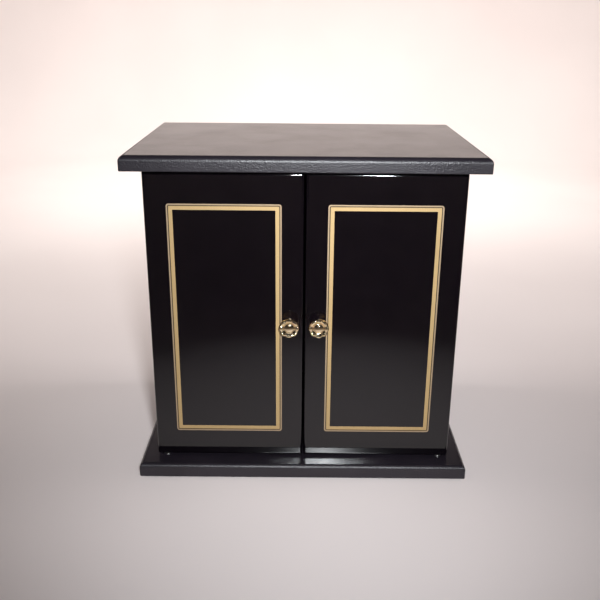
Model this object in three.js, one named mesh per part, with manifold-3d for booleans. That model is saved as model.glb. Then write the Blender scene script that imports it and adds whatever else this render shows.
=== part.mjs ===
// A table-top household altar cabinet: a lacquered box with two pivot-hung doors,
// closed below and above by boards of the same plan.
// Millimetres, +Z up, +X to the right of someone facing the doors, doors towards -Y.
// The origin is the middle of the underside.

import * as THREE from 'three';
import { mergeVertices } from 'three/addons/utils/BufferGeometryUtils.js';
import Module from 'manifold-3d';

const wasm = await Module();
wasm.setup();

// ---- driving dimensions ----

const FIT = 0.3; // clearance between pieces that are glued or pressed together

const BOARD_WIDTH = 350;
const BOARD_DEPTH = 240;
const BOARD_THICKNESS = 15;
const TOP_ROUND = 5.5; // rounding along the top board's upper front and side edges
const BASE_ROUND = 4.2; // the same on the base board
const BOARD_EASE = 1; // small rounding of every other board edge
const BOARD_CORNER = 1.2; // rounding of the boards' upright corners

const CLEAR_HEIGHT = 315; // between the two boards
const BODY_WIDTH = 316; // across the doors' outer edges
const FRONT_OVERHANG = 20.5; // boards' front edge to the doors' front face
const BACK_OVERHANG = 4; // side panels' back edge to the boards' back edge

const DOOR_THICKNESS = 12;
const DOOR_GAP = 1.6; // between the two doors
const DOOR_BELOW = 1.5; // under each door
const DOOR_ABOVE = 4; // over each door, room to lift it onto its pins
const DOOR_ROUND = 2.5; // rounding of the doors' front edges
const DOOR_HINGE_ROUND = 4; // rounding of the back edge on the hinge side
const DOOR_EASE = 1; // the doors' other back edges

const PIN_INSET = 9.5; // pivot axis to the door's outer edge
const PIN_RADIUS = 2;
const PIN_DEPTH = 8; // how deep the bore for each end of a pin is
const PIN_POINT_LENGTH = 0.6; // taper at each end of a pin
const PIN_POINT_TAPER = 0.4;
const COLLAR_RADIUS = 4.6;
const CUT_BEYOND = 1; // how far a bore's cutter starts outside the wood

const PANEL_THICKNESS = 12;
const PANEL_STEP = 1; // side panels stand in from the doors' outer edges
const PANEL_EASE = 0.8;
const SWING_CLEARANCE = 0.7; // door corner to side panel as the door turns

const BACK_THICKNESS = 4;
const REBATE_WIDTH = 6; // how far the back panel laps into each side panel
const BACK_EASE = 0.4;

const KNOB_FROM_MIDDLE = 15;
const KNOB_HEIGHT = 170;
const KNOB_LOBES = 8;
const KNOB_STEPS_PER_LOBE = 8;
const VALLEY_IN = 0.5; // how far the rim draws in between two lobes
const VALLEY_DOWN = 1.15; // how far the face sinks between two lobes
// The turned profile, from the foot to the middle of the face. radius and out, the distance
// from the door, are in mm. rim and face say how far the point takes part in VALLEY_IN and
// VALLEY_DOWN, from 0 to 1.
const KNOB_PROFILE = [
  { radius: 0, out: FIT, rim: 0, face: 0 }, // middle of the foot
  { radius: 5.6, out: FIT, rim: 0, face: 0 },
  { radius: 6.2, out: 0.9, rim: 0, face: 0 }, // widest of the foot
  { radius: 5.6, out: 1.6, rim: 0, face: 0 },
  { radius: 4.2, out: 2.2, rim: 0, face: 0 },
  { radius: 3.9, out: 4.0, rim: 0, face: 0 }, // neck
  { radius: 4.6, out: 5.8, rim: 0, face: 0 },
  { radius: 6.6, out: 7.6, rim: 0.3, face: 0 },
  { radius: 8.5, out: 8.5, rim: 0.7, face: 0 },
  { radius: 9.7, out: 9.4, rim: 1, face: 0 },
  { radius: 10.3, out: 10.5, rim: 1, face: 0.2 },
  { radius: 10.4, out: 11.7, rim: 1, face: 0.6 }, // widest of the lobes
  { radius: 10.1, out: 12.9, rim: 1, face: 1 },
  { radius: 9.4, out: 13.8, rim: 0.9, face: 1 },
  { radius: 8.4, out: 14.2, rim: 0.6, face: 1 }, // crest of the lobes
  { radius: 7.2, out: 13.8, rim: 0.3, face: 1 },
  { radius: 6.2, out: 12.9, rim: 0.1, face: 0.6 },
  { radius: 5.6, out: 12.2, rim: 0, face: 0.2 },
  { radius: 5.1, out: 12.0, rim: 0, face: 0 }, // groove round the dome
  { radius: 4.6, out: 12.3, rim: 0, face: 0 },
  { radius: 3.5, out: 12.9, rim: 0, face: 0 },
  { radius: 1.8, out: 13.4, rim: 0, face: 0 },
  { radius: 0, out: 13.6, rim: 0, face: 0 }, // top of the dome
];

const ARC_STEPS = 6; // straight pieces in a quarter round
const BORE_SIDES = 28;

// ---- places that follow from them ----

const BOARD_TOP = BOARD_THICKNESS; // upper face of the base board
const ROOF_BOTTOM = BOARD_TOP + CLEAR_HEIGHT;
const FRONT = -BOARD_DEPTH / 2;
const BACK = BOARD_DEPTH / 2;

const DOOR_FRONT = FRONT + FRONT_OVERHANG;
const DOOR_BACK = DOOR_FRONT + DOOR_THICKNESS;
const DOOR_OUTER = BODY_WIDTH / 2;
const DOOR_INNER = DOOR_GAP / 2;
const DOOR_BOTTOM = BOARD_TOP + DOOR_BELOW;
const DOOR_TOP = ROOF_BOTTOM - DOOR_ABOVE;

const PIN_X = DOOR_OUTER - PIN_INSET;
const PIN_Y = (DOOR_FRONT + DOOR_BACK) / 2;
const cornerReach = (round) => round + Math.hypot(PIN_INSET - round, DOOR_THICKNESS / 2 - round);
const SWING_RADIUS = Math.max(cornerReach(DOOR_ROUND), cornerReach(DOOR_HINGE_ROUND));

const PANEL_OUTER = DOOR_OUTER - PANEL_STEP;
const PANEL_INNER = PANEL_OUTER - PANEL_THICKNESS;
const PANEL_FRONT = PIN_Y + SWING_RADIUS + SWING_CLEARANCE;
const PANEL_BACK = BACK - BACK_OVERHANG;

const BACK_PANEL_HALF = PANEL_INNER + REBATE_WIDTH - FIT;
const BACK_PANEL_FRONT = PANEL_BACK - BACK_THICKNESS;

// ---- outlines ----

// A closed outline through the given corners, each [u, v, radius], rounded by an arc.
// The corners run anticlockwise and every corner turns left, unless its radius is 0.
function roundedOutline(corners) {
  const points = [];
  corners.forEach(([u, v, radius], i) => {
    const [pu, pv] = corners[(i + corners.length - 1) % corners.length];
    const [nu, nv] = corners[(i + 1) % corners.length];
    if (radius === 0) {
      points.push(new THREE.Vector2(u, v));
      return;
    }
    const before = new THREE.Vector2(pu - u, pv - v).normalize();
    const after = new THREE.Vector2(nu - u, nv - v).normalize();
    const centre = new THREE.Vector2(u, v).addScaledVector(before, radius).addScaledVector(after, radius);
    const start = Math.atan2(-after.y, -after.x);
    for (let k = 0; k <= ARC_STEPS; k++) {
      const angle = start + (k / ARC_STEPS) * (Math.PI / 2);
      points.push(new THREE.Vector2(
        centre.x + radius * Math.cos(angle),
        centre.y + radius * Math.sin(angle),
      ));
    }
  });
  return new THREE.Shape(points);
}

function extruded(shape, length) {
  return new THREE.ExtrudeGeometry(shape, { depth: length, bevelEnabled: false, steps: 1 });
}

// An outline in plan (x, y), standing from z = low to z = high.
function plan(shape, low, high) {
  return extruded(shape, high - low).translate(0, 0, low);
}

// An outline seen from the front (x, z), running from y = near to y = far.
function front(shape, near, far) {
  return extruded(shape, far - near).rotateX(Math.PI / 2).translate(0, far, 0);
}

// An outline seen from the right (y, z), running from x = left to x = right.
function side(shape, left, right) {
  return extruded(shape, right - left).rotateZ(Math.PI / 2).rotateY(Math.PI / 2).translate(left, 0, 0);
}

// ---- solids ----

function solid(geometry) {
  const bare = geometry.index ? geometry.toNonIndexed() : geometry.clone();
  bare.deleteAttribute('normal');
  bare.deleteAttribute('uv');
  const merged = mergeVertices(bare, 1e-4);
  return new wasm.Manifold(new wasm.Mesh({
    numProp: 3,
    vertProperties: new Float32Array(merged.attributes.position.array),
    triVerts: new Uint32Array(merged.index.array),
  }));
}

function geometryOf(manifold) {
  const mesh = manifold.getMesh();
  const geometry = new THREE.BufferGeometry();
  geometry.setAttribute('position', new THREE.BufferAttribute(mesh.vertProperties, 3));
  geometry.setIndex(new THREE.BufferAttribute(mesh.triVerts, 1));
  geometry.computeVertexNormals();
  return geometry;
}

function common(...geometries) {
  return geometries.map(solid).reduce((a, b) => a.intersect(b));
}

function bored(manifold, ...bores) {
  return bores.reduce((body, bore) => body.subtract(solid(bore)), manifold);
}

// A round bar along z.
function upright(radius, x, y, low, high) {
  return new THREE.CylinderGeometry(radius, radius, high - low, BORE_SIDES)
    .rotateX(Math.PI / 2)
    .translate(x, y, (low + high) / 2);
}

// ---- boards ----

// Both boards: rounded over along the upper front and side edges, square at the back.
function board(bottom, topRound, boreLow, boreHigh) {
  const top = bottom + BOARD_THICKNESS;
  const half = BOARD_WIDTH / 2;
  const across = roundedOutline([
    [-half, bottom, BOARD_EASE],
    [half, bottom, BOARD_EASE],
    [half, top, topRound],
    [-half, top, topRound],
  ]);
  const along = roundedOutline([
    [FRONT, bottom, BOARD_EASE],
    [BACK, bottom, BOARD_EASE],
    [BACK, top, BOARD_EASE],
    [FRONT, top, topRound],
  ]);
  const outline = roundedOutline([
    [-half, FRONT, BOARD_CORNER],
    [half, FRONT, BOARD_CORNER],
    [half, BACK, BOARD_CORNER],
    [-half, BACK, BOARD_CORNER],
  ]);
  const body = common(front(across, FRONT, BACK), side(along, -half, half), plan(outline, bottom, top));
  const bores = [-1, 1].map((hand) => upright(PIN_RADIUS + FIT, hand * PIN_X, PIN_Y, boreLow, boreHigh));
  return geometryOf(bored(body, ...bores));
}

function baseBoard() {
  return board(0, BASE_ROUND, BOARD_TOP - PIN_DEPTH, BOARD_TOP + CUT_BEYOND);
}

function topBoard() {
  return board(ROOF_BOTTOM, TOP_ROUND, ROOF_BOTTOM - CUT_BEYOND, ROOF_BOTTOM + PIN_DEPTH);
}

// ---- the box ----

// hand is -1 for the left and 1 for the right. The outline is drawn for the right
// and mirrored by running its corners the other way round.
function sidePanel(hand) {
  const rebate = PANEL_INNER + REBATE_WIDTH;
  const corners = [
    [PANEL_INNER, PANEL_FRONT, PANEL_EASE],
    [PANEL_OUTER, PANEL_FRONT, PANEL_EASE],
    [PANEL_OUTER, PANEL_BACK, PANEL_EASE],
    [rebate, PANEL_BACK, 0],
    [rebate, BACK_PANEL_FRONT - FIT, 0],
    [PANEL_INNER, BACK_PANEL_FRONT - FIT, 0],
  ];
  const placed = hand > 0 ? corners : corners.map(([x, y, r]) => [-x, y, r]).reverse();
  return plan(roundedOutline(placed), BOARD_TOP + FIT, ROOF_BOTTOM - FIT);
}

function backPanel() {
  const outline = roundedOutline([
    [-BACK_PANEL_HALF, BACK_PANEL_FRONT, 0],
    [BACK_PANEL_HALF, BACK_PANEL_FRONT, 0],
    [BACK_PANEL_HALF, PANEL_BACK, BACK_EASE],
    [-BACK_PANEL_HALF, PANEL_BACK, BACK_EASE],
  ]);
  return plan(outline, BOARD_TOP + FIT, ROOF_BOTTOM - FIT);
}

// ---- doors ----

function door(hand) {
  const corners = [
    [DOOR_INNER, DOOR_FRONT, DOOR_ROUND],
    [DOOR_OUTER, DOOR_FRONT, DOOR_ROUND],
    [DOOR_OUTER, DOOR_BACK, DOOR_HINGE_ROUND],
    [DOOR_INNER, DOOR_BACK, DOOR_EASE],
  ];
  const placed = hand > 0 ? corners : corners.map(([x, y, r]) => [-x, y, r]).reverse();
  const section = roundedOutline([
    [DOOR_FRONT, DOOR_BOTTOM, DOOR_ROUND],
    [DOOR_BACK, DOOR_BOTTOM, DOOR_EASE],
    [DOOR_BACK, DOOR_TOP, DOOR_EASE],
    [DOOR_FRONT, DOOR_TOP, DOOR_ROUND],
  ]);
  const slab = common(
    plan(roundedOutline(placed), DOOR_BOTTOM, DOOR_TOP),
    side(section, -DOOR_OUTER, DOOR_OUTER),
  );
  return geometryOf(bored(
    slab,
    upright(PIN_RADIUS + FIT, hand * PIN_X, PIN_Y, DOOR_BOTTOM - CUT_BEYOND, DOOR_BOTTOM + PIN_DEPTH),
    upright(PIN_RADIUS + FIT, hand * PIN_X, PIN_Y, DOOR_TOP - PIN_DEPTH, DOOR_TOP + CUT_BEYOND),
  ));
}

// A pin with a collar that carries the door clear of the board: a turned profile, low to high.
// low and high are the two faces of wood that the pin goes into.
function pivotPin(hand, low, high) {
  const reach = PIN_DEPTH - FIT;
  const tip = PIN_RADIUS - PIN_POINT_TAPER;
  const profile = [
    [0, low - reach],
    [tip, low - reach],
    [PIN_RADIUS, low - reach + PIN_POINT_LENGTH],
    [PIN_RADIUS, low + FIT],
    [COLLAR_RADIUS, low + FIT],
    [COLLAR_RADIUS, high - FIT],
    [PIN_RADIUS, high - FIT],
    [PIN_RADIUS, high + reach - PIN_POINT_LENGTH],
    [tip, high + reach],
    [0, high + reach],
  ].map(([radius, z]) => new THREE.Vector2(radius, z));
  return new THREE.LatheGeometry(profile, BORE_SIDES).rotateX(Math.PI / 2).translate(hand * PIN_X, PIN_Y, 0);
}

// ---- knobs ----

function knob(hand) {
  const around = KNOB_LOBES * KNOB_STEPS_PER_LOBE;
  const turned = KNOB_PROFILE.map(({ radius, out }) => new THREE.Vector2(radius, out));
  const geometry = new THREE.LatheGeometry(turned, around);
  const position = geometry.attributes.position;
  for (let i = 0; i <= around; i++) {
    const angle = (i / around) * 2 * Math.PI;
    const valley = 1 - Math.abs(Math.cos((angle * KNOB_LOBES) / 2));
    KNOB_PROFILE.forEach(({ radius, out, rim, face }, j) => {
      const r = radius - VALLEY_IN * rim * valley;
      const height = out - VALLEY_DOWN * face * valley;
      position.setXYZ(i * KNOB_PROFILE.length + j, r * Math.sin(angle), height, r * Math.cos(angle));
    });
  }
  // The lathe turns about +Y. Out from the door is -Y here, so the turning is tipped half round.
  geometry.rotateX(Math.PI).translate(hand * KNOB_FROM_MIDDLE, DOOR_FRONT, KNOB_HEIGHT);
  return geometry;
}

// ---- finishes ----

const satinLacquer = () => new THREE.MeshStandardMaterial({ color: 0x111114, roughness: 0.38, metalness: 0 });
const glossLacquer = () => new THREE.MeshStandardMaterial({ color: 0x08080a, roughness: 0.08, metalness: 0 });
const polishedBrass = () => new THREE.MeshStandardMaterial({ color: 0xd9b374, roughness: 0.15, metalness: 1 });
const steel = () => new THREE.MeshStandardMaterial({ color: 0x9a9a98, roughness: 0.35, metalness: 1 });

// ---- the cabinet ----

const cabinet = new THREE.Group();

function add(name, geometry, material, parent = cabinet) {
  const mesh = new THREE.Mesh(geometry, material);
  mesh.name = name;
  parent.add(mesh);
}

add('base_board', baseBoard(), satinLacquer());
add('top_board', topBoard(), satinLacquer());
add('back_panel', backPanel(), satinLacquer());

[['left', -1], ['right', 1]].forEach(([word, hand]) => {
  add(`${word}_side_panel`, sidePanel(hand), satinLacquer());
  add(`${word}_door_lower_pin`, pivotPin(hand, BOARD_TOP, DOOR_BOTTOM), steel());
  add(`${word}_door_upper_pin`, pivotPin(hand, DOOR_TOP, ROOF_BOTTOM), steel());
  const leaf = new THREE.Group();
  add(`${word}_door`, door(hand), glossLacquer(), leaf);
  add(`${word}_knob`, knob(hand), polishedBrass(), leaf);
  cabinet.add(leaf);
});

export default cabinet;
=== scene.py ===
# %% [markdown]
# # A table-top altar cabinet in black lacquer
#
# A household altar of this kind is a small lacquered box with two doors, closed above and below by
# boards of the same plan. The construction is already settled in CAD: every board, door, pin and knob
# has its real size there. This lesson dresses that construction, so each new piece takes its place
# and its size from the CAD piece that it stands for. Everything is in metres, with Z up and the
# doors facing -Y.

import math

import bmesh
import bpy
from mathutils import Matrix, Vector


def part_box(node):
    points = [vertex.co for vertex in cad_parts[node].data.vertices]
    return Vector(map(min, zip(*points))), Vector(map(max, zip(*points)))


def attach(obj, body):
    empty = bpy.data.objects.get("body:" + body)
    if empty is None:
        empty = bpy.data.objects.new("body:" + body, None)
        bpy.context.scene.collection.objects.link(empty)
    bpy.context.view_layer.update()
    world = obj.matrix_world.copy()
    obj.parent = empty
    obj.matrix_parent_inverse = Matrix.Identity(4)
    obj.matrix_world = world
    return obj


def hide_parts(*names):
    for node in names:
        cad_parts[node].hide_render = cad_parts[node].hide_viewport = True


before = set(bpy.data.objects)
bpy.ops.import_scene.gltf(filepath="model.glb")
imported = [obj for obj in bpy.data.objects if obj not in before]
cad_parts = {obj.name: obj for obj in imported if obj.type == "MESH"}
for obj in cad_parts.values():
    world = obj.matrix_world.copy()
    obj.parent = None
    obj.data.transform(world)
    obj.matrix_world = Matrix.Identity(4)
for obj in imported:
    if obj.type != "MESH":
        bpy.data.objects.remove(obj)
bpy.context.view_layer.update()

# %% [markdown]
# ## Small helpers
#
# Joinery is spoken of in millimetres, so one constant turns them into metres. A piece starts as a
# sawn block and is shaped by bevels, in the order that a workshop does it: first the moulding with
# a large radius, then a light pass over every edge that is still sharp. Keeping that order also
# keeps the corners tidy, because the second bevel follows the mitres that the first one made.

# %% Blocks and edges
MM = 0.001
TOUCHING = 1e-6
SHARP = math.radians(30)
FULL_TURN = 2 * math.pi


def sawn_block(low, high):
    """A block between two corners, ready to be shaped."""
    bm = bmesh.new()
    bmesh.ops.create_cube(bm, size=1)
    bmesh.ops.scale(bm, vec=high - low, verts=bm.verts)
    bmesh.ops.translate(bm, vec=(low + high) / 2, verts=bm.verts)
    return bm


def edges_at(bm, **places):
    """The edges that lie wholly at the given places, such as y=low.y, z=high.z."""
    return [
        e for e in bm.edges
        if all(abs(getattr(v.co, axis) - at) < TOUCHING for v in e.verts for axis, at in places.items())
    ]


def round_over(bm, edges, radius, segments):
    """Rounds those edges to a quarter circle."""
    bmesh.ops.bevel(
        bm, geom=edges, offset=radius, offset_type="OFFSET", segments=segments,
        profile=0.5, affect="EDGES", material=-1, clamp_overlap=False,
    )


def ease_what_is_sharp(bm, radius, segments):
    """One light pass with fine paper over every edge that is still sharp."""
    sharp = [e for e in bm.edges if e.is_manifold and e.calc_face_angle() > SHARP]
    round_over(bm, sharp, radius, segments)
    return len(sharp)


print("helpers ready")

# %% [markdown]
# A finished mesh becomes an object in one place, so that every piece is treated alike: doubles are
# merged, faces point outwards, the piece is hung on the body that carries it and given its finish,
# and the CAD node that it stands for is hidden. The Weighted Normal modifier lets the big flat faces
# rule the shading, so a wide board stays flat in its reflections right up to the start of its rounding.

# %% Turning a mesh into a finished piece
FLAT_FACE_WEIGHT = 100


def finished(bm, name, body, node, materials, flat_faces_rule=True):
    bmesh.ops.remove_doubles(bm, verts=bm.verts, dist=TOUCHING)
    bmesh.ops.recalc_face_normals(bm, faces=bm.faces)
    for face in bm.faces:
        face.smooth = True
    mesh = bpy.data.meshes.new(name)
    bm.to_mesh(mesh)
    bm.free()
    for material in materials:
        mesh.materials.append(material)
    piece = bpy.data.objects.new(name, mesh)
    bpy.context.scene.collection.objects.link(piece)
    if flat_faces_rule:
        weighted = piece.modifiers.new("flat faces rule", "WEIGHTED_NORMAL")
        weighted.weight = FLAT_FACE_WEIGHT
        weighted.keep_sharp = True
    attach(piece, body)
    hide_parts(node)
    print(name, "has", len(mesh.polygons), "faces")
    return piece


# %% [markdown]
# ## Finishes
#
# All the finishes are node materials on Object coordinates. Because a piece's place is in its mesh,
# those coordinates are the cabinet's own metres, so a pattern has the same grain size everywhere.

# %% Starting a material
LEVEL_FROM = 0.95     # a face is level where the Z of its normal is above this
LEVEL_FULLY = 0.995


class Finish:
    """A material with a Principled shader and short ways to add the usual nodes."""

    def __init__(self, name, **sockets):
        self.material = bpy.data.materials.new(name)
        self.material.use_nodes = True
        self.nodes = self.material.node_tree.nodes
        self.links = self.material.node_tree.links
        self.shader = self.nodes["Principled BSDF"]
        for socket, value in sockets.items():
            self.shader.inputs[socket.replace("_", " ")].default_value = value
        self.coordinates = self.nodes.new("ShaderNodeTexCoord")
        self.place = self.coordinates.outputs["Object"]

    def stretched(self, x, y, z):
        """Object coordinates stretched along each axis."""
        mapping = self.nodes.new("ShaderNodeMapping")
        mapping.inputs["Scale"].default_value = (x, y, z)
        self.links.new(self.place, mapping.inputs["Vector"])
        return mapping.outputs["Vector"]

    def noise(self, scale, detail=3.0, roughness=0.5, place=None):
        texture = self.nodes.new("ShaderNodeTexNoise")
        texture.inputs["Scale"].default_value = scale
        texture.inputs["Detail"].default_value = detail
        texture.inputs["Roughness"].default_value = roughness
        self.links.new(place or self.place, texture.inputs["Vector"])
        return texture.outputs["Fac"]

    def set(self, socket, value):
        """Gives a socket a number or the output of another node."""
        if isinstance(value, bpy.types.NodeSocket):
            self.links.new(value, socket)
        else:
            socket.default_value = value

    def between(self, factor, low, high, start=0.3, stop=0.7):
        """A number that goes from low to high as the factor goes from start to stop."""
        ranged = self.nodes.new("ShaderNodeMapRange")
        for name, value in (("From Min", start), ("From Max", stop), ("To Min", low), ("To Max", high)):
            self.set(ranged.inputs[name], value)
        self.links.new(factor, ranged.inputs["Value"])
        return ranged.outputs["Result"]

    def lies_flat(self):
        """1 on faces that look straight up, 0 on every rounding and upright face."""
        split = self.nodes.new("ShaderNodeSeparateXYZ")
        self.links.new(self.coordinates.outputs["Normal"], split.inputs["Vector"])
        return self.between(split.outputs["Z"], 0.0, 1.0, start=LEVEL_FROM, stop=LEVEL_FULLY)

    def by_mask(self, mask, outside, inside):
        """The first number where the mask is 0, the second where it is 1."""
        return self.between(mask, outside, inside, start=0, stop=1)

    def colours(self, factor, stops):
        """A colour ramp, as a list of (position, colour)."""
        ramp = self.nodes.new("ShaderNodeValToRGB")
        elements = ramp.color_ramp.elements
        elements[0].position, elements[0].color = stops[0][0], (*stops[0][1], 1)
        elements[1].position, elements[1].color = stops[-1][0], (*stops[-1][1], 1)
        for position, colour in stops[1:-1]:
            elements.new(position).color = (*colour, 1)
        self.links.new(factor, ramp.inputs["Fac"])
        return ramp.outputs["Color"]

    def bump(self, height, strength, distance, under=None):
        bump = self.nodes.new("ShaderNodeBump")
        self.set(bump.inputs["Strength"], strength)
        bump.inputs["Distance"].default_value = distance
        self.links.new(height, bump.inputs["Height"])
        if under is not None:
            self.links.new(under, bump.inputs["Normal"])
        return bump.outputs["Normal"]

    def wear(self, **outputs):
        """Links node outputs to the shader's sockets and gives the material back."""
        for socket, output in outputs.items():
            self.links.new(output, self.shader.inputs[socket.replace("_", " ")])
        print("finish:", self.material.name)
        return self.material


# %% [markdown]
# **Satin lacquer.** The boards and side walls are sprayed black. A flat board that lies level dries
# smooth, because the wet lacquer flows out, so its top is nearly polished. On the roundings and the
# upright faces the spray is drier: it stays satin, with a fine grain that breaks up highlights. One
# material does both, with a mask made from the direction in which the surface faces.

# %% Satin lacquer
def satin_lacquer():
    f = Finish("satin black lacquer", IOR=1.5)
    flat = f.lies_flat()
    grain = f.noise(640, detail=3, roughness=0.6)
    ripple = f.noise(45, detail=1)
    handled = f.noise(24, detail=4)
    normal = f.bump(ripple, f.by_mask(flat, 0.10, 0.03), 0.4 * MM)
    normal = f.bump(grain, f.by_mask(flat, 1.0, 0.05), 0.34 * MM, under=normal)
    satin = f.between(handled, 0.33, 0.38)
    smooth = f.between(handled, 0.17, 0.22)
    return f.wear(
        Base_Color=f.colours(handled, [(0.3, (0.0120, 0.0095, 0.0135)), (0.7, (0.0180, 0.0142, 0.0200))]),
        Roughness=f.by_mask(flat, satin, smooth),
        Normal=normal,
    )


SATIN = satin_lacquer()

# %% [markdown]
# **Gloss lacquer.** The doors are rubbed and polished until they mirror the table. Real polished
# lacquer still keeps a very slight unevenness, called orange peel, so straight reflections bend a
# little. The black itself is a touch purple.

# %% Gloss lacquer
def gloss_lacquer():
    f = Finish("polished black lacquer", IOR=1.55)
    peel = f.noise(120, detail=1)
    swell = f.noise(9, detail=1)
    polish = f.noise(40, detail=5, roughness=0.65)
    normal = f.bump(swell, 0.04, 0.6 * MM)
    normal = f.bump(peel, 0.04, 0.15 * MM, under=normal)
    return f.wear(
        Base_Color=f.colours(polish, [(0.35, (0.0020, 0.0013, 0.0022)), (0.7, (0.0030, 0.0020, 0.0032))]),
        Roughness=f.between(polish, 0.045, 0.085),
        Normal=normal,
    )


GLOSS = gloss_lacquer()

# %% [markdown]
# **Dull lacquer.** Nobody sees the back, so its thin sheet gets one coat of matt black. The grain of
# the sheet shows through it as fine upright streaks, which is a noise stretched along Z.

# %% Dull lacquer
def dull_lacquer():
    f = Finish("matt black on sheet wood", IOR=1.45)
    streaks = f.noise(420, detail=3, place=f.stretched(1, 1, 0.045))
    blotches = f.noise(14, detail=4)
    return f.wear(
        Base_Color=f.colours(blotches, [(0.3, (0.014, 0.013, 0.012)), (0.7, (0.022, 0.020, 0.019))]),
        Roughness=f.between(streaks, 0.60, 0.78),
        Normal=f.bump(streaks, 0.4, 0.2 * MM),
    )


DULL = dull_lacquer()

# %% [markdown]
# **Gold border.** The border is gold powder in a binder: half metal and half paint, so it is bright
# from every side but mirrors nothing. The powder gives it a fine sparkle of lighter and darker
# grains. The outer line is drawn thinner than the band, so the black shows through it a little, and
# in the gap between the two a trace of the gold is left.

# %% Gold paint
PART_METAL = 0.5


def gold_paint(name, dark, light, roughness):
    f = Finish(name, Metallic=PART_METAL, IOR=1.5)
    powder = f.noise(2600, detail=2)
    brushed = f.noise(55, detail=3)
    return f.wear(
        Base_Color=f.colours(powder, [(0.3, dark), (0.7, light)]),
        Roughness=f.between(brushed, roughness - 0.05, roughness + 0.07),
        Normal=f.bump(powder, 0.25, 0.05 * MM),
    )


GOLD_LINE = gold_paint("thin gold line", (0.34, 0.245, 0.150), (0.42, 0.310, 0.200), 0.55)
GOLD_BAND = gold_paint("gold band", (0.42, 0.285, 0.130), (0.52, 0.365, 0.175), 0.55)
GOLD_TRACE = gold_paint("trace of gold in the gap", (0.045, 0.028, 0.012), (0.075, 0.048, 0.022), 0.5)

# %% [markdown]
# **Brass and steel.** The knobs are polished brass with faint rubbing marks. The pivot pins are
# plain turned steel, so their roughness runs in rings round each pin: a noise squeezed along Z.

# %% Metals
def polished_brass():
    f = Finish("polished brass", Metallic=1.0)
    rubbed = f.noise(350, detail=4, roughness=0.6)
    tarnish = f.noise(130, detail=3)
    return f.wear(
        Base_Color=f.colours(tarnish, [(0.3, (0.88, 0.70, 0.42)), (0.7, (0.96, 0.80, 0.54))]),
        Roughness=f.between(rubbed, 0.06, 0.14),
        Normal=f.bump(rubbed, 0.05, 0.04 * MM),
    )


def turned_steel():
    f = Finish("turned steel", Metallic=1.0)
    rings = f.noise(900, detail=2, place=f.stretched(0.08, 0.08, 6))
    return f.wear(
        Base_Color=f.colours(rings, [(0.3, (0.42, 0.41, 0.40)), (0.7, (0.58, 0.57, 0.55))]),
        Roughness=f.between(rings, 0.25, 0.42),
        Normal=f.bump(rings, 0.2, 0.05 * MM),
    )


BRASS = polished_brass()
STEEL = turned_steel()

# %% [markdown]
# ## The two boards
#
# Both boards are the same plan. Their upper edges are rounded over at the front and the sides, and
# left square at the back, which stands against a wall. One could sweep a moulding profile round the
# outline, but a bevel on three edges of a block gives the same mitred corners with less to go wrong.

# %% Boards
MOULDING_STEPS = 16
EASE_STEPS = 4
TOP_ROUND = 5.5 * MM
BASE_ROUND = 4.2 * MM
BOARD_EASE = 1.0 * MM


def board(node, rounding):
    low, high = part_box(node)
    bm = sawn_block(low, high)
    back_edge = edges_at(bm, y=high.y, z=high.z)
    moulded = [e for e in edges_at(bm, z=high.z) if e not in back_edge]
    round_over(bm, moulded, rounding, MOULDING_STEPS)
    eased = ease_what_is_sharp(bm, BOARD_EASE, EASE_STEPS)
    print(node, "moulded edges:", len(moulded), "eased edges:", eased)
    return finished(bm, "lacquered_" + node, "cabinet", node, [SATIN])


board("top_board", TOP_ROUND)
board("base_board", BASE_ROUND)

# %% [markdown]
# ## The doors
#
# Each door is one thick slab. Its front edges are rounded so that the polish wraps round them, and
# the back edge beside the pivot has a larger round so that the door can turn past the side wall.

# %% [markdown]
# The border is paint, so it must not stand up from the door. It is cut into the flat front face
# instead: nested outlines lie in the plane of the door, and each ring between two of them is filled
# and given its own paint. Vertex bevels round the outlines' corners, and triangle_fill closes the
# ring between two loops of edges, whatever number of vertices each of them has.

# %% Border outlines
FRONT_FACING = -0.99

# Each outline: how far it lies inside the first, its corner radius, and the paint from it inwards.
BORDER = [
    (0.0 * MM, 2.6 * MM, 1),
    (1.3 * MM, 1.5 * MM, 2),
    (2.3 * MM, 0.8 * MM, 3),
    (6.1 * MM, 0.0 * MM, 0),
]
CORNER_STEPS = 6


def outline(bm, left, right, bottom, top, y, corner):
    """A flat face in the plane of the door, with rounded corners. Returns the face."""
    before = set(bm.faces)
    made = bmesh.ops.create_grid(bm, x_segments=1, y_segments=1, size=0.5)["verts"]
    for v in made:
        v.co = Vector((
            left if v.co.x < 0 else right,
            y,
            bottom if v.co.y < 0 else top,
        ))
    if corner > 0:
        bmesh.ops.bevel(
            bm, geom=made, offset=corner, offset_type="OFFSET", segments=CORNER_STEPS,
            profile=0.5, affect="VERTICES", material=-1,
        )
    return next(f for f in bm.faces if f not in before)


def open_loop(bm, face):
    """Takes a face away and returns the loop of edges that it leaves."""
    loop = list(face.edges)
    bmesh.ops.delete(bm, geom=[face], context="FACES_ONLY")
    return loop


def paint_border(bm, near, far, bottom, top):
    """Cuts the border into the door's front face. near and far are its edges in x."""
    left, right = min(near, far), max(near, far)
    front = max((f for f in bm.faces if f.normal.y < FRONT_FACING), key=lambda f: f.calc_area())
    y = front.verts[0].co.y
    outer = open_loop(bm, front)
    paint = 0
    for inset, corner, next_paint in BORDER:
        face = outline(bm, left + inset, right - inset, bottom + inset, top - inset, y, corner)
        last = inset == BORDER[-1][0]
        inner = list(face.edges) if last else open_loop(bm, face)
        ring = bmesh.ops.triangle_fill(bm, use_beauty=True, edges=outer + inner, normal=(0, -1, 0))["geom"]
        for f in ring:
            if isinstance(f, bmesh.types.BMFace):
                f.material_index = paint
        outer, paint = inner, next_paint


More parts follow.
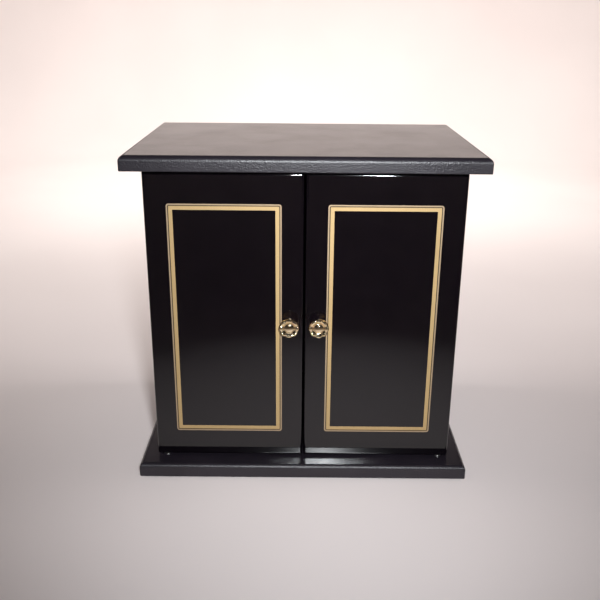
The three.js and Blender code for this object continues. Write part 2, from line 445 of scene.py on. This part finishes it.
# %% Doors
DOOR_ROUND = 2.5 * MM
PIVOT_ROUND = 4.0 * MM
DOOR_EASE = 1.0 * MM
DOOR_STEPS = 10
BORDER_NEAR = 22.8 * MM    # border's outer edge to the middle of the cabinet
BORDER_FAR = 135.8 * MM
BORDER_BOTTOM = 45.55 * MM
BORDER_TOP = 295.4 * MM


def door(hand, side):
    node = f"{hand}_door"
    low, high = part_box(node)
    pivot_x = high.x if side > 0 else low.x
    bm = sawn_block(low, high)
    round_over(bm, edges_at(bm, x=pivot_x, y=high.y), PIVOT_ROUND, DOOR_STEPS)
    round_over(bm, edges_at(bm, y=low.y), DOOR_ROUND, DOOR_STEPS)
    eased = ease_what_is_sharp(bm, DOOR_EASE, EASE_STEPS)
    paint_border(bm, side * BORDER_NEAR, side * BORDER_FAR, BORDER_BOTTOM, BORDER_TOP)
    print(node, "eased edges:", eased)
    paints = [GLOSS, GOLD_LINE, GOLD_TRACE, GOLD_BAND]
    return finished(bm, f"{hand}_door_leaf", f"{hand}_leaf", node, paints)


door("left", -1)
door("right", 1)

# %% [markdown]
# ## The knobs
#
# A small brass knob is turned on a lathe, with a domed middle and a groove round it, and its rim is
# then cut into eight lobes. The same two steps make it here. The profile is spun round the knob's
# axis, and then every vertex is drawn in a little where it lies in a valley between two lobes. The
# profile carries, beside each radius and height, how far the point takes part in those valleys.

# %% Knob profile
KNOB_LOBES = 8
KNOB_STEPS = 128
SMOOTH_STEPS = 4
VALLEY_IN = 0.5 * MM
VALLEY_DOWN = 1.15 * MM

# radius, distance out from the door, share in VALLEY_IN, share in VALLEY_DOWN; mm from foot to face
KNOB_PROFILE = [
    (0.0, 0.3, 0, 0),
    (5.6, 0.3, 0, 0),
    (6.2, 0.9, 0, 0),
    (5.6, 1.6, 0, 0),
    (4.2, 2.2, 0, 0),
    (3.9, 4.0, 0, 0),
    (4.6, 5.8, 0, 0),
    (6.6, 7.6, 0.3, 0),
    (8.5, 8.5, 0.7, 0),
    (9.7, 9.4, 1, 0),
    (10.3, 10.5, 1, 0.2),
    (10.4, 11.7, 1, 0.6),
    (10.1, 12.9, 1, 1),
    (9.4, 13.8, 0.9, 1),
    (8.4, 14.2, 0.6, 1),
    (7.2, 13.8, 0.3, 1),
    (6.2, 12.9, 0.1, 0.6),
    (5.6, 12.2, 0, 0.2),
    (5.1, 12.0, 0, 0),
    (4.6, 12.3, 0, 0),
    (3.5, 12.9, 0, 0),
    (1.8, 13.4, 0, 0),
    (0.0, 13.6, 0, 0),
]
print("knob profile points:", len(KNOB_PROFILE))

# %% [markdown]
# The profile has few points, so that it stays easy to read and to change. A Catmull-Rom curve goes
# through every one of them and rounds the turns in between.

# %% A smooth curve through the profile
def smooth_through(points, steps):
    """A Catmull-Rom curve through the points, with that many steps between each pair."""
    ends = [points[0], *points, points[-1]]
    curve = []
    for before, start, end, after in zip(ends, ends[1:], ends[2:], ends[3:]):
        for k in range(steps):
            t = k / steps
            curve.append([
                0.5 * (
                    2 * b
                    + (c - a) * t
                    + (2 * a - 5 * b + 4 * c - d) * t**2
                    + (3 * b - a - 3 * c + d) * t**3
                )
                for a, b, c, d in zip(before, start, end, after)
            ])
    return curve + [list(points[-1])]


print("curve points:", len(smooth_through(KNOB_PROFILE, SMOOTH_STEPS)))

# %% [markdown]
# Spinning keeps the layers of the vertices that it copies, so every vertex still knows its share in
# the valleys when the turning is done. A valley is deepest midway between two lobes.

# %% Knobs
def knob(hand):
    node = f"{hand}_knob"
    low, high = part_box(node)
    seat = Vector(((low.x + high.x) / 2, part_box(f"{hand}_door")[0].y, (low.z + high.z) / 2))
    bm = bmesh.new()
    rim_share = bm.verts.layers.float.new("rim share")
    face_share = bm.verts.layers.float.new("face share")
    chain = []
    for radius, out, rim, face in smooth_through(KNOB_PROFILE, SMOOTH_STEPS):
        v = bm.verts.new((0, -out * MM, max(radius, 0) * MM))
        v[rim_share], v[face_share] = rim, face
        chain.append(v)
    profile = [bm.edges.new(pair) for pair in zip(chain, chain[1:])]
    bmesh.ops.spin(
        bm, geom=chain + profile, cent=(0, 0, 0), axis=(0, 1, 0),
        angle=FULL_TURN, steps=KNOB_STEPS, use_merge=True,
    )
    bmesh.ops.remove_doubles(bm, verts=bm.verts, dist=TOUCHING)
    for v in bm.verts:
        radius = math.hypot(v.co.x, v.co.z)
        if radius > TOUCHING:
            valley = 1 - abs(math.cos(math.atan2(v.co.x, v.co.z) * KNOB_LOBES / 2))
            drawn_in = 1 - VALLEY_IN * v[rim_share] * valley / radius
            v.co = Vector((
                v.co.x * drawn_in,
                v.co.y + VALLEY_DOWN * v[face_share] * valley,
                v.co.z * drawn_in,
            ))
    bmesh.ops.translate(bm, vec=seat, verts=bm.verts)
    return finished(
        bm, f"{hand}_brass_knob", f"{hand}_leaf", node, [BRASS],
        flat_faces_rule=False,
    )


knob("left")
knob("right")

# %% [markdown]
# ## The pieces that stay as they are
#
# The side walls, the back and the pivot pins are plain shapes that the construction already holds
# exactly, so they keep their meshes and only change their material.

# %% Dressing the construction's own pieces
KEPT = {"back_panel": DULL}
for hand in ("left", "right"):
    KEPT[f"{hand}_side_panel"] = SATIN
    KEPT[f"{hand}_door_lower_pin"] = STEEL
    KEPT[f"{hand}_door_upper_pin"] = STEEL
for node, material in KEPT.items():
    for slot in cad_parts[node].material_slots:
        slot.material = material
print("kept pieces:", sorted(KEPT))

# %% [markdown]
# ## The studio
#
# Black lacquer shows nothing but its surroundings, so the room matters more than the lamps. A pale
# sweep is spun into a shallow bowl: a floor, a cove and a low wall all round, so that the cabinet
# stands before the same wall from every side. Above the wall it stays dark, which keeps the black.
# The wall in front is a part of its own, because it is hidden from glossy rays: polished doors and
# knobs that face a dark room stay deep.

# %% Sizes of the sweep
SWEEP_RADIUS = 2.4
SWEEP_HEIGHT = 1.3
COVE = 0.5
SWEEP_STEPS = 96
COVE_STEPS = 12
FRONT_WALL_FROM = 0.9
print("sweep across:", 2 * SWEEP_RADIUS, "m")

# %% [markdown]
# **Pale paper.** The sweep is matt and pale, with a touch of pink. A very wide noise makes it a
# little cloudy, so that it isn't one flat tone, and a fine one gives it a fibre.

# %% Pale paper
def paper():
    f = Finish("pale paper", Roughness=0.9)
    fibre = f.noise(180, detail=4)
    cloud = f.noise(2.2, detail=2)
    return f.wear(
        Base_Color=f.colours(cloud, [(0.3, (0.76, 0.685, 0.675)), (0.7, (0.80, 0.725, 0.715))]),
        Roughness=f.between(fibre, 0.85, 0.95),
        Normal=f.bump(fibre, 0.1, 0.5 * MM),
    )


PAPER = paper()


# %% The bowl and its front wall
def part_of_sweep(name, is_part):
    """Spins the bowl and keeps the faces whose middle is_part accepts."""
    bm = bmesh.new()
    profile = [(0, 0), (SWEEP_RADIUS - COVE, 0)]
    for k in range(1, COVE_STEPS + 1):
        turn = k / COVE_STEPS * FULL_TURN / 4
        profile.append((SWEEP_RADIUS - COVE * (1 - math.sin(turn)), COVE * (1 - math.cos(turn))))
    profile.append((SWEEP_RADIUS, SWEEP_HEIGHT))
    chain = [bm.verts.new((0, r, z)) for r, z in profile]
    edges = [bm.edges.new(pair) for pair in zip(chain, chain[1:])]
    bmesh.ops.spin(
        bm, geom=chain + edges, cent=(0, 0, 0), axis=(0, 0, 1),
        angle=FULL_TURN, steps=SWEEP_STEPS, use_merge=True,
    )
    bmesh.ops.remove_doubles(bm, verts=bm.verts, dist=TOUCHING)
    bmesh.ops.recalc_face_normals(bm, faces=bm.faces)
    others = [f for f in bm.faces if not is_part(f.calc_center_median())]
    bmesh.ops.delete(bm, geom=others, context="FACES")
    for face in bm.faces:
        face.smooth = True
    mesh = bpy.data.meshes.new(name)
    bm.to_mesh(mesh)
    bm.free()
    mesh.materials.append(PAPER)
    stage = bpy.data.objects.new(name, mesh)
    bpy.context.scene.collection.objects.link(stage)
    print(name, "faces:", len(mesh.polygons))
    return stage


def in_front(middle):
    return middle.z > TOUCHING and middle.y < -FRONT_WALL_FROM


part_of_sweep("studio_sweep", lambda middle: not in_front(middle))
front_wall = part_of_sweep("studio_front_wall", in_front)
front_wall.visible_glossy = False

# %% [markdown]
# ## Lights
#
# The key is a small soft lamp beside the lens, with a narrow beam. Its reflection is the bright line
# along the boards' roundings and the sparkle on the knobs, and its beam leaves a pool of light on
# the floor that the doors mirror from the foot upwards. The other lamps light the walls, the floor
# and the cabinet's back and sides. They are hidden from glossy rays, because black lacquer would
# show them as patches.

# %% A lamp
def lamp(name, place, aim, size, power, spread, colour=(1, 1, 1), mirrored=False):
    data = bpy.data.lights.new(name, "AREA")
    data.shape = "RECTANGLE"
    data.size, data.size_y = size
    data.energy = power
    data.color = colour
    data.spread = math.radians(spread)
    light = bpy.data.objects.new(name, data)
    light.location = place
    light.rotation_euler = (Vector(aim) - Vector(place)).to_track_quat("-Z", "Y").to_euler()
    light.visible_glossy = mirrored
    bpy.context.scene.collection.objects.link(light)
    print("lamp:", name, power, "W")


# %% Lamps
# name, place and aim in metres, size in metres, power in watts, spread in degrees, colour
lamp("lamp_by_the_lens", (0.048, -0.84, 0.525), (0.035, -0.10, 0.240), (0.06, 0.035), 1.85, 72,
     (0.93, 0.97, 1.0), mirrored=True)
lamp("wall_light", (0.0, 0.7, 1.5), (0.0, 2.4, 0.30), (1.6, 0.5), 15, 120, (1.0, 0.97, 0.92))
lamp("light_from_behind", (0.0, 1.1, 1.6), (0, 1.5, 0), (2.4, 0.8), 12, 100, (1.0, 0.97, 0.92))
lamp("front_wall_light", (0.0, -1.35, 1.25), (0.0, -2.4, 0.75), (1.6, 0.4), 4, 80, (1.0, 0.97, 0.94))
lamp("light_from_the_left", (-1.6, 0.2, 1.2), (-0.3, 0.5, 0.1), (0.6, 0.6), 2, 60, (1.0, 0.95, 0.91))
lamp("light_from_the_right", (1.6, 0.2, 1.2), (0.3, 0.5, 0.1), (0.6, 0.6), 2, 60, (1.0, 0.96, 0.94))

# %% [markdown]
# A very weak, slightly warm light from all round stands for the rest of the room. It keeps the
# darkest shadows from going fully black.

# %% A dim room
DIM_COLOUR = (1.0, 0.93, 0.88, 1)
DIM_STRENGTH = 0.03

world = bpy.data.worlds.new("dim room")
world.use_nodes = True
background = world.node_tree.nodes["Background"]
background.inputs["Color"].default_value = DIM_COLOUR
background.inputs["Strength"].default_value = DIM_STRENGTH
bpy.context.scene.world = world
print("room light:", DIM_STRENGTH)

# %% [markdown]
# ## Camera
#
# The camera stands in front at a little over the cabinet's height and looks down, close enough for
# the uprights to lean together towards the foot. The Standard view transform keeps black lacquer
# black, which a filmic curve would lift.

# %% Camera
CAMERA_PLACE = Vector((-3.241, -838.834, 467.643)) * MM
CAMERA_DOWN = math.radians(20.129)
CAMERA_TURN = math.radians(0.0755)
CAMERA_ROLL = math.radians(0.462)
SENSOR_WIDTH = 36     # mm
FOCAL_LENGTH = 46.504     # mm

camera_data = bpy.data.cameras.new("camera")
camera_data.sensor_width = SENSOR_WIDTH
camera_data.lens = FOCAL_LENGTH
camera = bpy.data.objects.new("camera", camera_data)
camera.location = CAMERA_PLACE
camera.rotation_mode = "XYZ"
forward = Vector((
    -math.sin(CAMERA_TURN) * math.cos(CAMERA_DOWN),
    math.cos(CAMERA_TURN) * math.cos(CAMERA_DOWN),
    -math.sin(CAMERA_DOWN),
))
level = Vector((math.cos(CAMERA_TURN), math.sin(CAMERA_TURN), 0))
above = level.cross(forward)
right_hand = level * math.cos(CAMERA_ROLL) + above * math.sin(CAMERA_ROLL)
upright = above * math.cos(CAMERA_ROLL) - level * math.sin(CAMERA_ROLL)
camera.rotation_euler = Matrix((right_hand, upright, -forward)).transposed().to_euler()
bpy.context.scene.collection.objects.link(camera)
bpy.context.scene.camera = camera
bpy.context.scene.view_settings.view_transform = "Standard"
